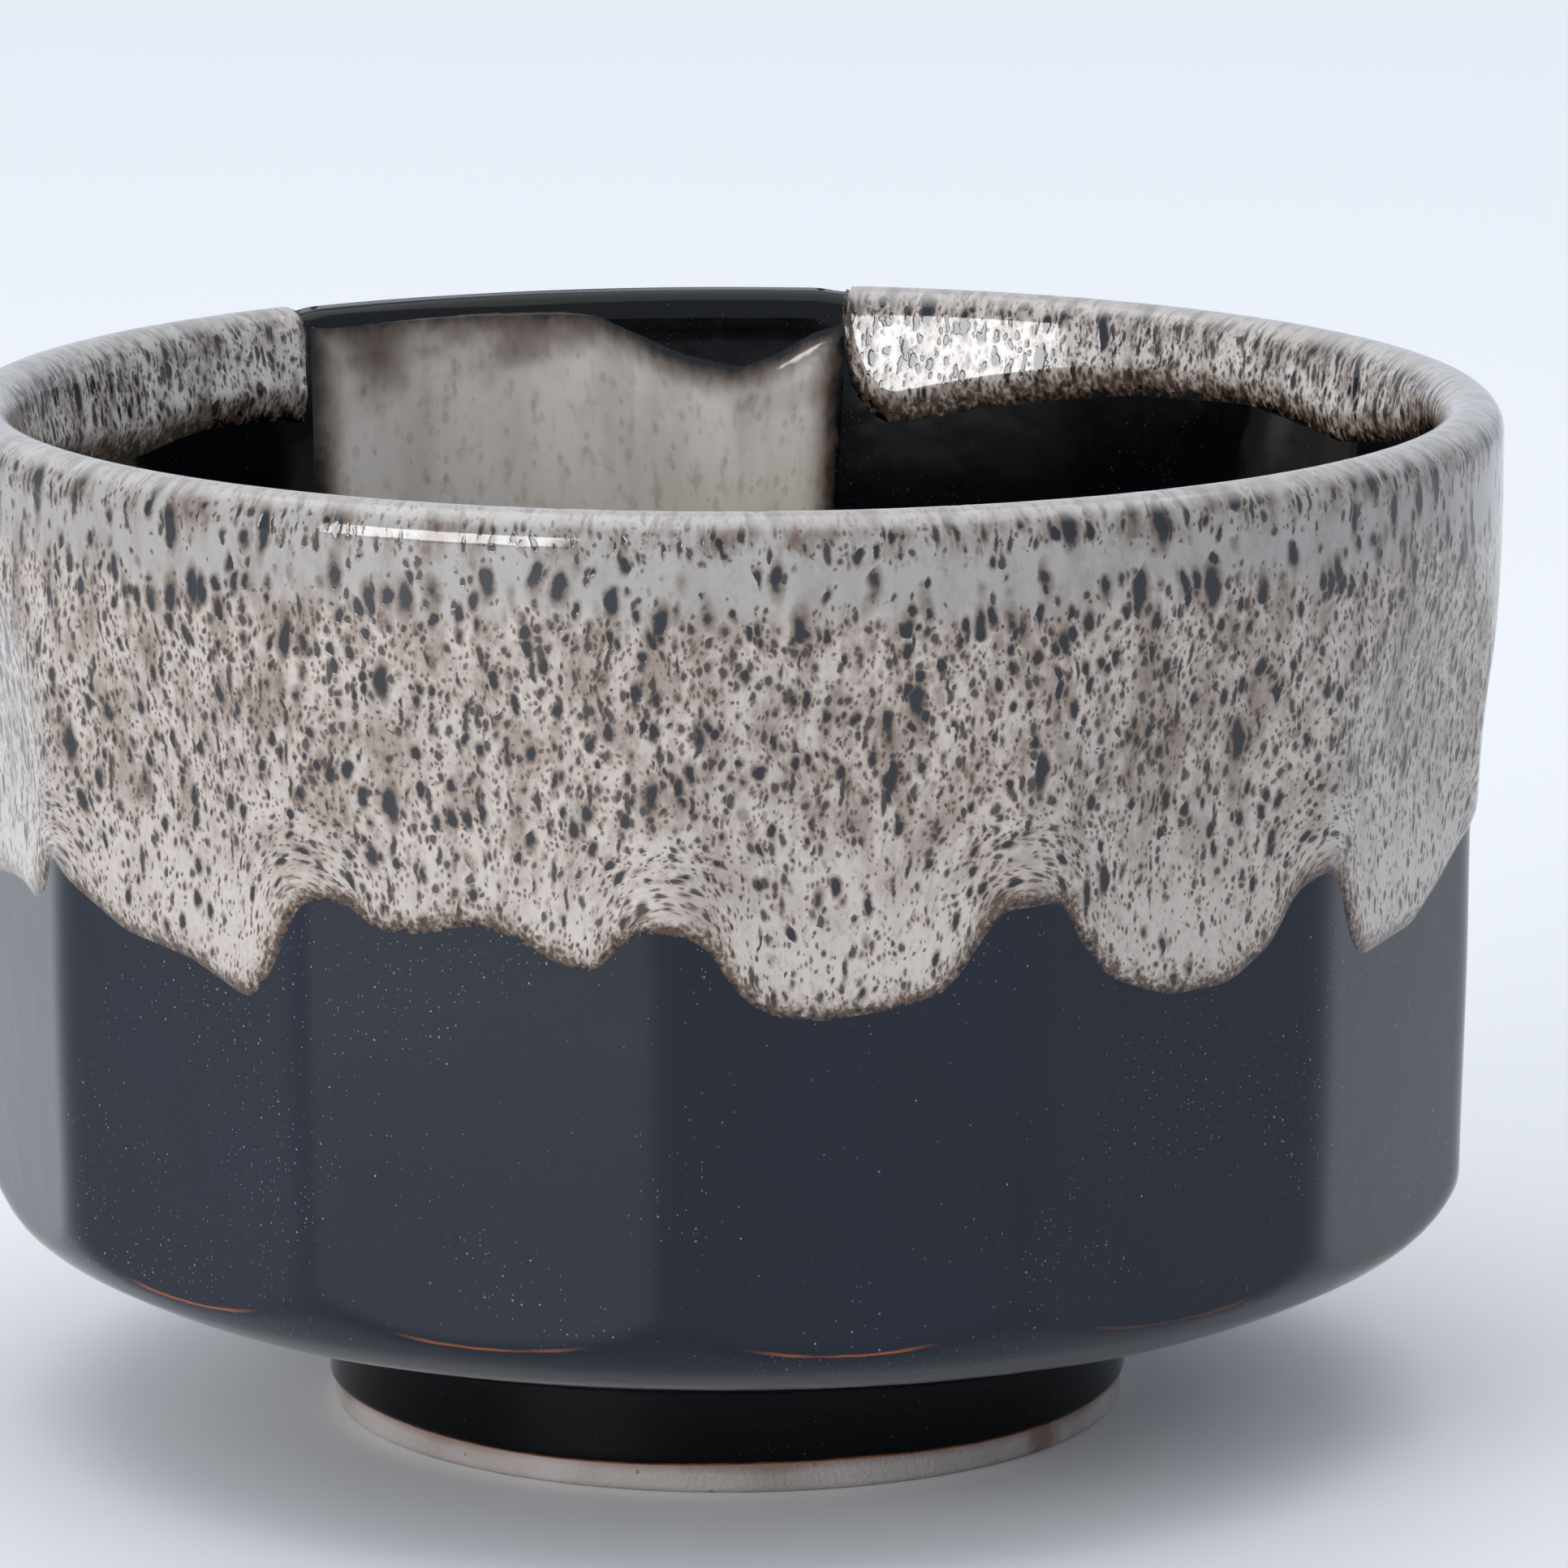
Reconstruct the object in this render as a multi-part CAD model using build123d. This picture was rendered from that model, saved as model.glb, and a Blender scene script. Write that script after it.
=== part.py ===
"""Faceted stoneware matcha bowl with dark and cream glazes.

Millimetres, +Z up. The origin is the middle of the foot, on the surface the bowl stands on.
Angles round the bowl are degrees from the front (-Y) towards the right (+X).
"""

from build123d import *
import os
from math import cos, pi, radians, sin

# Whole bowl
rim_diameter = 120.0  # across the rim, over both glazes
height = 79.8  # foot to the highest point of the rim
dark_coat = 0.5  # thickness of the dark glaze
cream_coat = 0.5  # thickness of the cream glaze over it

# Clay wall
lip_clay = 3.0  # thickness of the clay at its round lip
wall_inset = 1.3  # clay radius at the rim less clay radius above the shoulder
rim_band = 12.0  # straight band under the lip outside
shoulder_radius = 7.5
belly_radius = 37.5
shoulder_turn = 60.0  # degrees of the shoulder's arc before the belly takes over

# Facets, cut by hand and so not quite even
ridges = [-58.2, -31.3, -4.0, 22.0, 49.5, 78.0, 106.0, 134.0, 162.0, 190.0, 218.0, 246.0, 274.0]
ridge_wear = 0.2  # how far the ridges stand inside the round wall at the shoulder
facet_lean = 0.45  # how much further out a facet is half way up than under the shoulder
facet_start = 0.2  # share of the lean that it has at the shoulder
facet_bite = 2.3  # depth of a facet's middle under the rim, where it starts to run out
facet_clear = 0.3  # how far past the rim's radius it ends
facet_flare = 18.0  # height over which a facet runs out under the rim
facet_end = 6.5  # where it has run out, below the rim
cutter_width = 1.5  # width of a facet's cutter, in facets

# Inside
floor_thickness = 5.0
corner_radius = 20.0  # between the floor and the wall inside
inside_taper = 4.0  # inside radius at the rim less inside radius above the corner
inside_flare = 5.0  # degrees that the inside opens out towards the lip

# Foot
foot_diameter = 61.8  # clay, without its glaze
foot_height = 10.8  # clay, up to the underside of the body
foot_wall = 5.4
foot_taper = 0.8  # how much the foot's wall thickens towards the body
foot_edge = 0.7  # rounding of the bare rim that the bowl stands on
foot_coat = 0.4  # thickness of the dark glaze on the foot
foot_fillet = 1.5  # glaze gathered where the foot meets the body
bare_foot = 2.3  # clay left bare above the standing surface
bare_foot_wave = 0.25  # how far the glaze's edge there rises and falls
wave_turns = (3, 2)  # the two beats of that wave, in turns round the foot
wave_start = 40.0  # degrees
wave_step = 15

# Cream glaze outside: for each facet, how far below the rim the glaze's edge lies at its first
# ridge and at a quarter, half and three quarters of the way across
drips = [
    (30.6, 35.2, 36.2, 38.2),
    (29.9, 31.9, 31.2, 33.8),
    (30.8, 36.6, 37.5, 36.1),
    (29.6, 35.4, 37.8, 36.8),
    (30.2, 38.0, 37.6, 35.3),
    (31.6, 36.2, 38.6, 36.4),
    (29.9, 35.0, 36.4, 37.8),
    (31.6, 37.1, 38.9, 37.9),
    (30.4, 34.6, 36.0, 34.9),
    (29.6, 36.9, 38.2, 35.8),
    (31.8, 36.5, 37.6, 38.3),
    (30.2, 33.9, 35.1, 34.4),
    (31.8, 35.8, 34.8, 35.3),
]
bare_rim = (170.6, 218.5)  # the cream misses the rim between these two angles
bare_rim_drop = 3.0  # and this far down the outside

# Cream glaze inside: (angle, depth below the rim) along the lower edge of the curtain
curtain_edge = [
    (-135.0, 9.2),
    (-120.0, 9.8),
    (-95.0, 8.2),
    (-70.0, 9.6),
    (-45.0, 7.6),
    (-20.0, 9.0),
    (5.0, 8.0),
    (30.0, 9.4),
    (60.0, 7.4),
    (85.0, 6.2),
    (109.0, 8.2),
    (131.0, 6.6),
    (150.0, 8.4),
    (163.0, 11.0),
]
curtain_end = 4.0  # its depth at the two ends, beside the bare rim
curtain_tuck = 2.0  # degrees that its edge line runs on past them
pour_left = -32.8  # x of the poured glaze's straight sides
pour_right = 7.6
pour_reach = 6.0  # how far in front of the middle its pool ends
pour_top = 2.6  # below the rim
pour_notch = (-2.0, 5.0, 10.5)  # x of a notch in its top edge, its depth and half its width

# Worked out from the sizes above
both_coats = dark_coat + cream_coat
rim_radius = rim_diameter / 2 - both_coats
wall_radius = rim_radius - wall_inset
lip_radius = lip_clay / 2
lip_middle = rim_radius - lip_radius
lip_height = height - both_coats - lip_radius
foot_radius = foot_diameter / 2
floor_height = foot_height + floor_thickness
facets = list(zip(ridges, [*ridges[1:], ridges[0] + 360]))
turn = radians(shoulder_turn)
shoulder_middle = wall_radius - shoulder_radius
shoulder_height = foot_height + belly_radius - (belly_radius - shoulder_radius) * sin(turn)
belly_middle = shoulder_middle - (belly_radius - shoulder_radius) * cos(turn)
lip_inside = 180 - inside_flare  # where the lip's arc ends inside
clear = 20.0  # how far cutting shapes run past the bowl


def around(radius, angle, z=0.0):
    """Point at an angle from the front of the bowl."""
    return Vector(radius * sin(radians(angle)), -radius * cos(radians(angle)), z)


def on_section(x, z):
    return Vector(x, 0, z)


def arc(x, z, radius, start, end):
    """Arc in the section about (x, z), between two angles in degrees."""
    angles = [radians(a) for a in (start, (start + end) / 2, end)]
    return ThreePointArc(*[on_section(x + radius * cos(a), z + radius * sin(a)) for a in angles])


def turned(*edges):
    """Solid turned from a chain of edges, closed along the bowl's axis."""
    top, bottom = edges[0] @ 0, edges[-1] @ 1
    ends = Polyline(bottom, on_section(0, bottom.Z), on_section(0, top.Z), top)
    return revolve(Face(Wire([*edges, *ends.edges()])), Axis.Z)


def outside_line(coat):
    """Section of the outside from the foot of the round lip to the flat under the body."""
    brim = on_section(rim_radius + coat, lip_height)
    band = brim - on_section(0, rim_band)
    wall = on_section(wall_radius + coat, shoulder_height)
    down = (0, 0, -1)
    return [
        Line(brim, band),
        Spline(band, wall, tangents=(down, down)),
        arc(shoulder_middle, shoulder_height, shoulder_radius + coat, 0, -shoulder_turn),
        arc(belly_middle, foot_height + belly_radius, belly_radius + coat, -shoulder_turn, -90),
    ]


def inside_line(coat):
    """Section of the inside from the foot of the round lip to the flat of the floor."""
    corner_middle = rim_radius - lip_clay - inside_taper - corner_radius
    corner_height = floor_height + corner_radius
    brim = lip_arc(coat, lip_inside, 90) @ 0
    side = on_section(corner_middle + corner_radius - coat, corner_height)
    flare = radians(inside_flare)
    return [
        Spline(brim, side, tangents=((-sin(flare), 0, -cos(flare)), (0, 0, -1))),
        arc(corner_middle, corner_height, corner_radius - coat, 0, -90),
    ]


def lip_arc(coat, start, end):
    """Arc over the round lip, from 0 degrees outside to 180 inside."""
    return arc(lip_middle, lip_height, lip_radius + coat, start, end)


def outer_form(coat):
    """Everything inside the outside surface, with a coat of glaze over the clay."""
    return turned(lip_arc(coat, 90, 0), *outside_line(coat)) - facet_cutters(coat)


def cavity(coat):
    """The space inside the bowl, with a coat of glaze on the clay."""
    lip = lip_arc(coat, 90, lip_inside)
    mouth = Line(on_section(lip_middle, height + clear), lip @ 0)
    return turned(mouth, lip, *inside_line(coat))


def facet_cutter(half_turn, coat):
    """What one facet takes off the round form; half_turn is half the angle it spans."""
    low = (wall_radius - ridge_wear) * cos(half_turn)
    flare = height - facet_end - facet_flare
    points = [
        on_section(low, shoulder_height - shoulder_radius),
        on_section(low + facet_lean * facet_start, shoulder_height),
        on_section(low + facet_lean, (shoulder_height + flare) / 2),
        on_section(rim_radius - facet_bite, flare),
        on_section(rim_radius - facet_bite / 2, flare + facet_flare / 2),
        on_section(rim_radius + facet_clear, height - facet_end),
    ]
    face_line = Spline([p + on_section(coat, 0) for p in points])
    far = rim_radius + clear
    back = Polyline(face_line @ 1, on_section(far, height), on_section(far, 0), face_line @ 0)
    half_width = wall_radius * sin(half_turn) * cutter_width
    return extrude(Face(Wire([face_line, *back.edges()])), half_width, both=True)


def facet_cutters(coat):
    cutters = []
    for start, end in facets:
        cutter = facet_cutter(radians(end - start) / 2, coat)
        cutters.append(Rot(0, 0, (start + end) / 2 - 90) * cutter)
    return cutters


def mouth_core():
    """Straight core that parts the outside coats from the inside ones at the top of the lip."""
    standing = (Align.CENTER, Align.CENTER, Align.MIN)
    return Pos(0, 0, lip_height) * Cylinder(lip_middle, clear, align=standing)


def past_edge(points, near, far, reach):
    """Everything above a wavy edge that runs round the bowl through (angle, z) points.

    A negative reach gives everything below it.
    """
    inner = Spline([around(near, a, z) for a, z in points], periodic=True)
    outer = Spline([around(far, a, z) for a, z in points], periodic=True)
    sheet = Face.make_surface_from_curves(inner, outer)
    return Solid.extrude(sheet, Vector(0, 0, reach))


def sector(start, end, radius):
    """Wedge between two angles, tall enough for the whole bowl."""
    middle = (start + end) / 2
    corners = [Vector(0, 0), around(radius, start), around(radius, middle), around(radius, end)]
    outline = Polyline(*corners, close=True)
    return extrude(Face(Wire(outline.edges())), height + clear, dir=(0, 0, 1))


def clay_body(coat=0.0):
    """Thrown wall and floor in one piece, with the facets cut from its outside."""
    outside, inside = outside_line(coat), inside_line(coat)
    under, floor = outside[-1] @ 1, inside[-1] @ 1
    middle = Polyline(under, on_section(0, under.Z), on_section(0, floor.Z), floor)
    section = Face(Wire([lip_arc(coat, lip_inside, 0), *outside, *middle.edges(), *inside]))
    return revolve(section, Axis.Z) - facet_cutters(coat)


def clay_foot():
    """Ring that the bowl stands on, thicker towards the body, with rounded standing edges."""
    inside = foot_radius - foot_wall
    outline = Polyline(
        on_section(foot_radius, 0),
        on_section(foot_radius, foot_height),
        on_section(inside - foot_taper, foot_height),
        on_section(inside, 0),
        close=True,
    )
    ring = revolve(Face(Wire(outline.edges())), Axis.Z)
    standing = ring.edges().group_by(Axis.Z)[0]
    return fillet(standing, foot_edge)


def outer_dark():
    """Dark glaze over the whole outside, down to the foot."""
    foot_hole = Cylinder(foot_radius, foot_height * 2)
    return outer_form(dark_coat) - outer_form(0) - mouth_core() - foot_hole


def inner_dark():
    return cavity(0) - cavity(dark_coat)


def foot_dark():
    """Dark glaze on the foot's outer wall, gathered under the body and wavy at its lower edge."""
    top = foot_height - dark_coat
    skin = foot_radius + foot_coat
    edges = [
        Line(on_section(foot_radius, 0), on_section(skin, 0)),
        Line(on_section(skin, 0), on_section(skin, top - foot_fillet)),
        arc(skin + foot_fillet, top - foot_fillet, foot_fillet, 180, 90),
        Line(on_section(skin + foot_fillet, top), on_section(foot_radius, top)),
        Line(on_section(foot_radius, top), on_section(foot_radius, 0)),
    ]
    coat = revolve(Face(Wire(edges)), Axis.Z)
    fast, slow = wave_turns
    wave = []
    for a in range(0, 360, wave_step):
        swell = sin(radians(fast * a + wave_start)) * cos(radians(slow * a))
        wave.append((a, bare_foot + bare_foot_wave * swell))
    return coat & past_edge(wave, foot_radius - foot_wall / 2, foot_radius + clear, height)


def foot_well():
    """Thin dark glaze under the body and down the inside of the foot."""
    inside = foot_radius - foot_wall
    slope = foot_taper / foot_height
    low = on_section(inside - slope * bare_foot, bare_foot)
    high = on_section(inside - foot_taper, foot_height)
    outline = Polyline(
        low,
        high,
        on_section(0, foot_height),
        on_section(0, foot_height - foot_coat),
        high - on_section(foot_coat, foot_coat),
        low - on_section(foot_coat, 0),
        close=True,
    )
    return revolve(Face(Wire(outline.edges())), Axis.Z)


def coat_on_cavity():
    return cavity(dark_coat) - cavity(both_coats)


def rim_cream():
    """Cream glaze over the lip, in lobes down the outside and a short curtain inside."""
    start, end = bare_rim
    lobes = []
    for (left, right), depths in zip(facets, drips):
        for j, depth in enumerate(depths):
            share = j / len(depths)
            angle = left * (1 - share) + right * share
            lobes.append((angle, height - depth))
    ends = [(start - 360 - curtain_tuck, curtain_end), (end - 360 + curtain_tuck, curtain_end)]
    curtain = [(a, height - depth) for a, depth in [*ends, *curtain_edge]]
    under_lobes = past_edge(lobes, lip_middle - clear, rim_radius + clear, -height)
    under_curtain = past_edge(curtain, lip_middle - clear, lip_middle + clear, -height)
    space = cavity(dark_coat / 2)  # its wall runs inside the dark glaze
    bare = sector(start, end, rim_radius + clear)
    deepest = max(max(depths) for depths in drips) + lip_radius
    standing = (Align.CENTER, Align.CENTER, Align.MIN)
    rim = Pos(0, 0, height - deepest) * Cylinder(rim_radius + clear, height, align=standing)
    coat = (clay_body(both_coats) - clay_body(dark_coat)) & rim
    coat -= under_lobes
    coat -= space & under_curtain
    coat -= space & bare
    return coat - Pos(0, 0, height - bare_rim_drop) * bare


def inner_pour():
    """Cream glaze poured down the far side inside and pooled on the floor."""
    middle = (pour_left + pour_right) / 2
    half = (pour_right - pour_left) / 2
    round_end = half - pour_reach
    far = rim_radius + clear
    edges = [
        Line((pour_right, far), (pour_right, round_end)),
        ThreePointArc((pour_right, round_end), (middle, -pour_reach), (pour_left, round_end)),
        Line((pour_left, round_end), (pour_left, far)),
        Line((pour_left, far), (pour_right, far)),
    ]
    shape = extrude(Face(Wire(edges)), height - pour_top, dir=(0, 0, 1))
    x, depth, half_width = pour_notch
    top = height - pour_top
    notch = Polyline(
        on_section(x - half_width, top),
        on_section(x, top - depth),
        on_section(x + half_width, top),
        close=True,
    )
    wedge = extrude(Face(Wire(notch.edges())), rim_diameter, both=True)
    return (coat_on_cavity() & shape) - wedge


pieces = {
    "stoneware_body": clay_body,
    "foot_ring": clay_foot,
    "outer_dark_glaze": outer_dark,
    "inner_dark_glaze": inner_dark,
    "foot_dark_glaze": foot_dark,
    "foot_well_glaze": foot_well,
    "rim_cream_glaze": rim_cream,
    "inner_cream_pour": inner_pour,
}

os.makedirs("parts", exist_ok=True)
for name, make in pieces.items():
    piece = make()
    export_step(piece, f"parts/{name}.step")
    print("made", name, "valid" if piece.is_valid else "NOT VALID")
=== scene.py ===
import bpy
import numpy as np
from math import cos, pi, radians, sin
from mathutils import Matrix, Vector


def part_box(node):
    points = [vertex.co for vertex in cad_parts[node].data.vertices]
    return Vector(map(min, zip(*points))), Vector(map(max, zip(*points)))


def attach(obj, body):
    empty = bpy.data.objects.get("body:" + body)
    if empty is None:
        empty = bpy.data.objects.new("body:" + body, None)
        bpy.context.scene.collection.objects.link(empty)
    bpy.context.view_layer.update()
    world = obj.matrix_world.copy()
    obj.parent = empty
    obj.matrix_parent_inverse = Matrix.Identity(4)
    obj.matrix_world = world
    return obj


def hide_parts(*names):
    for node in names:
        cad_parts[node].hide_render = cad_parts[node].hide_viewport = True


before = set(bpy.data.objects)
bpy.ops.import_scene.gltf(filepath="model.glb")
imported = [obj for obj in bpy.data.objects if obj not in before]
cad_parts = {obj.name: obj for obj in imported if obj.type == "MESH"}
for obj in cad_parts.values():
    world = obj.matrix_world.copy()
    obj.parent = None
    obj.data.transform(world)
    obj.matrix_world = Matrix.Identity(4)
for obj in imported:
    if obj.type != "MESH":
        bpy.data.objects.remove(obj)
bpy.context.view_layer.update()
mm = 0.001
print("frame loaded")

# The section of the clay, in mm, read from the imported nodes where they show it
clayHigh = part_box("stoneware_body")[1] / mm
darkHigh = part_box("outer_dark_glaze")[1] / mm
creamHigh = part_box("rim_cream_glaze")[1] / mm
bowl = {
    "clayRadius": clayHigh.x,
    "clayTop": clayHigh.z,
    "darkCoat": darkHigh.z - clayHigh.z,
    "creamCoat": creamHigh.z - darkHigh.z,
    "top": creamHigh.z,
    "lipClay": 3.0,
    "rimBand": 12.0,
    "wallInset": 1.3,
    "underHeight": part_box("foot_ring")[1].z / mm,
    "shoulderRadius": 7.5,
    "bellyRadius": 37.5,
    "shoulderTurn": 60.0,
    "floorThickness": 5.0,
    "cornerRadius": 20.0,
    "insideTaper": 4.0,
    "insideFlare": 5.0,  # degrees that the inside opens out towards the lip
    "footRadius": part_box("foot_ring")[1].x / mm,
    "footWall": 5.4,
    # ridges between the facets, in degrees from the front (-Y) towards the right (+X)
    "ridges": [-58.2, -31.3, -4.0, 22.0, 49.5, 78.0, 106.0,
               134.0, 162.0, 190.0, 218.0, 246.0, 274.0],
    "ridgeWear": 0.2,
    "facetLean": 0.45,
    "facetStart": 0.2,
    "facetBite": 2.3,
    "facetFlare": 18.0,
    "facetEnd": 6.5,
    "facetClear": 0.3,  # how far outside the clay a facet's line ends
}
facets = len(bowl["ridges"])
pitch = 360 / facets
evenRidges = bowl["ridges"][0] + pitch * np.arange(facets)
bothCoats = bowl["darkCoat"] + bowl["creamCoat"]
lipRadius = bowl["lipClay"] / 2
lipMiddle = bowl["clayRadius"] - lipRadius
lipHeight = bowl["clayTop"] - lipRadius
wallRadius = bowl["clayRadius"] - bowl["wallInset"]
shoulderRise = (bowl["bellyRadius"] - bowl["shoulderRadius"]) * sin(radians(bowl["shoulderTurn"]))
shoulderHeight = bowl["underHeight"] + bowl["bellyRadius"] - shoulderRise


def splineThrough(x, y, at):
    # natural cubic through the points, read at any places
    x, y = np.asarray(x, float), np.asarray(y, float)
    h = np.diff(x)
    n = len(x)
    a = np.zeros((n, n))
    b = np.zeros(n)
    a[0, 0] = a[-1, -1] = 1
    for i in range(1, n - 1):
        a[i, i - 1], a[i, i], a[i, i + 1] = h[i - 1], 2 * (h[i - 1] + h[i]), h[i]
        b[i] = 3 * ((y[i + 1] - y[i]) / h[i] - (y[i] - y[i - 1]) / h[i - 1])
    c = np.linalg.solve(a, b)
    k = np.clip(np.searchsorted(x, at) - 1, 0, n - 2)
    d = at - x[k]
    slope = (y[k + 1] - y[k]) / h[k] - h[k] * (2 * c[k] + c[k + 1]) / 3
    return y[k] + slope * d + c[k] * d**2 + (c[k + 1] - c[k]) / (3 * h[k]) * d**3


def arcRun(x, z, radius, start, end, side=1, steps=40):
    a = np.radians(np.linspace(start, end, steps))
    normal = np.stack([np.cos(a), np.sin(a)], 1)
    return np.array([x, z]) + radius * normal, side * normal


def lineRun(p, q, normal, steps=30):
    t = np.linspace(0, 1, steps)[:, None]
    points = np.array(p) * (1 - t) + np.array(q) * t
    return points, np.tile(normal, (steps, 1)).astype(float)


def bendRun(p, q, side, lean=0.0, steps=60):
    # leaves p leaning in by some degrees and reaches q straight down
    t = np.linspace(0, 1, steps)[:, None]
    p, q = np.array(p), np.array(q)
    length = np.linalg.norm(q - p)
    start = length * np.array([-sin(radians(lean)), -cos(radians(lean))])
    end = length * np.array([0, -1])
    points = ((2 * t**3 - 3 * t**2 + 1) * p + (t**3 - 2 * t**2 + t) * start
              + (3 * t**2 - 2 * t**3) * q + (t**3 - t**2) * end)
    along = np.gradient(points, axis=0)
    along /= np.linalg.norm(along, axis=1)[:, None]
    return points, side * np.stack([-along[:, 1], along[:, 0]], 1)


def joined(runs):
    points = np.concatenate([r[0] for r in runs])
    normals = np.concatenate([r[1] for r in runs])
    outline = points + bothCoats * normals
    length = np.concatenate([[0], np.cumsum(np.linalg.norm(np.diff(outline, axis=0), axis=1))])
    keep = np.concatenate([[True], np.diff(length) > 1e-6])
    return length[keep], points[keep], normals[keep]


def claySection():
    # one table from the middle of the floor, over the lip (where s is 0), to the foot
    bandFoot = lipHeight - bowl["rimBand"]
    side = bowl["clayRadius"] - bowl["lipClay"] - bowl["insideTaper"]
    corner = side - bowl["cornerRadius"]
    floor = bowl["underHeight"] + bowl["floorThickness"]
    flare = bowl["insideFlare"]
    lip = arcRun(lipMiddle, lipHeight, lipRadius, 90, 180 - flare)
    inside = joined([
        lip,
        bendRun(lip[0][-1], (side, floor + bowl["cornerRadius"]), -1, flare),
        arcRun(corner, floor + bowl["cornerRadius"], bowl["cornerRadius"], 0, -90, side=-1),
        lineRun((corner, floor), (0, floor), (0, 1)),
    ])
    turn = bowl["shoulderTurn"]
    shoulder = wallRadius - bowl["shoulderRadius"]
    belly = shoulder - (bowl["bellyRadius"] - bowl["shoulderRadius"]) * cos(radians(turn))
    under = bowl["underHeight"]
    outside = joined([
        arcRun(lipMiddle, lipHeight, lipRadius, 90, 0),
        lineRun((bowl["clayRadius"], lipHeight), (bowl["clayRadius"], bandFoot), (1, 0)),
        bendRun((bowl["clayRadius"], bandFoot), (wallRadius, shoulderHeight), 1),
        arcRun(shoulder, shoulderHeight, bowl["shoulderRadius"], 0, -turn),
        arcRun(belly, under + bowl["bellyRadius"], bowl["bellyRadius"], -turn, -90),
        lineRun((belly, under), (bowl["footRadius"] - bowl["footWall"], under), (0, -1)),
    ])
    s = np.concatenate([-inside[0][::-1], outside[0][1:]])
    points = np.concatenate([inside[1][::-1], outside[1][1:]])
    normals = np.concatenate([inside[2][::-1], outside[2][1:]])
    return s, points, normals


sectionS, sectionPoints, sectionNormals = claySection()


def onSection(s, coat):
    # radius and height of a coat's surface over the clay
    r, z, nr, nz = (np.interp(s, sectionS, a) for a in (*sectionPoints.T, *sectionNormals.T))
    size = np.hypot(nr, nz)
    return r + nr / size * coat, z + nz / size * coat


def facetReach(s, z, coat):
    # how far from the axis the flat of a facet lies at this height; far off inside the lip
    low = (wallRadius - bowl["ridgeWear"]) * cos(pi / facets)
    end = bowl["top"] - bowl["facetEnd"]
    flare = end - bowl["facetFlare"]
    places = [
        (shoulderHeight - bowl["shoulderRadius"], low),
        (shoulderHeight, low + bowl["facetLean"] * bowl["facetStart"]),
        ((shoulderHeight + flare) / 2, low + bowl["facetLean"]),
        (flare, bowl["clayRadius"] - bowl["facetBite"]),
        ((flare + end) / 2, bowl["clayRadius"] - bowl["facetBite"] / 2),
        (end, bowl["clayRadius"] + bowl["facetClear"]),
    ]
    heights, reaches = zip(*places)
    reach = splineThrough(heights, reaches, np.clip(z, heights[0], heights[-1]))
    reach = reach + coat + bowl["facetClear"] * np.clip(z - end, 0, None)
    return np.where(s > 1.0, reach, 1000.0)


def around(radius, angle, z):
    # points at angles from the front; radius, angle and z broadcast together
    a = np.radians(angle)
    return np.stack(np.broadcast_arrays(radius * np.sin(a), -radius * np.cos(a), z), -1)


def evenTurn(angle, rows):
    # how far each column is turned to make the facets even, for every row of a grid
    start = bowl["ridges"][0]
    at = (np.asarray(angle) - start) % 360
    places = np.array([*bowl["ridges"], start + 360]) - start
    turn = np.interp(at, places, np.append(evenRidges, start + 360) - start) - at
    return np.tile(np.radians(turn), (rows, 1))


def meshFrom(name, grid, attributes=None, wrapRows=False, wrapColumns=True, poles=()):
    # grid is rows x columns x 3 in mm; attributes are arrays with the same rows and columns
    # rows that wrap on columns that don't leave two ends, which are closed row by row
    rows, columns = grid.shape[:2]
    points = [grid.reshape(-1, 3)]
    index = np.arange(rows * columns).reshape(rows, columns)
    down = np.roll(index, -1, 0)[: rows if wrapRows else rows - 1]
    here = index[: len(down)]
    last = columns if wrapColumns else columns - 1
    right = np.roll(here, -1, 1)[:, :last]
    downRight = np.roll(down, -1, 1)[:, :last]
    quads = np.stack([here[:, :last], right, downRight, down[:, :last]], -1).reshape(-1, 4)
    faces = [list(q) for q in quads.tolist()]
    if wrapRows and not wrapColumns:
        half = rows // 2
        for column, turn in ((0, 1), (columns - 1, -1)):
            for i in range(half - 1):
                ring = [index[i, column], index[i + 1, column],
                        index[rows - 2 - i, column], index[rows - 1 - i, column]]
                faces.append([int(v) for v in ring[::turn]])
    if len(poles):
        points.append(np.array(poles, float))
        first, second = rows * columns, rows * columns + 1
        for j in range(columns):
            k = (j + 1) % columns
            faces.append([first, int(index[0, k]), int(index[0, j])])
            faces.append([second, int(index[-1, j]), int(index[-1, k])])
    co = np.concatenate(points) * mm
    mesh = bpy.data.meshes.new(name)
    mesh.from_pydata(co.tolist(), [], faces)
    for key, values in (attributes or {}).items():
        values = np.asarray(values, float)
        vector = values.ndim == 3
        flat = values.reshape(-1, 3) if vector else values.reshape(-1)
        if len(poles):
            ends = np.stack([values[0].mean(0), values[-1].mean(0)])
            flat = np.concatenate([flat, ends])
        layer = mesh.attributes.new(key, "FLOAT_VECTOR" if vector else "FLOAT", "POINT")
        layer.data.foreach_set("vector" if vector else "value", flat.astype(np.float32).ravel())
    mesh.update()
    mesh.calc_loop_triangles()
    corners = np.array([t.vertices[:] for t in mesh.loop_triangles])
    a, b, c = co[corners[:, 0]], co[corners[:, 1]], co[corners[:, 2]]
    if np.einsum("ij,ij->", a, np.cross(b, c)) < 0:
        mesh.flip_normals()
    mesh.shade_smooth()
    piece = bpy.data.objects.new(name, mesh)
    bpy.context.collection.objects.link(piece)
    return piece


def stood(piece, slot, *nodes):
    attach(piece, "root")
    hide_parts(*nodes)
    print("made", piece.name, len(piece.data.polygons), "faces")


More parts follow.
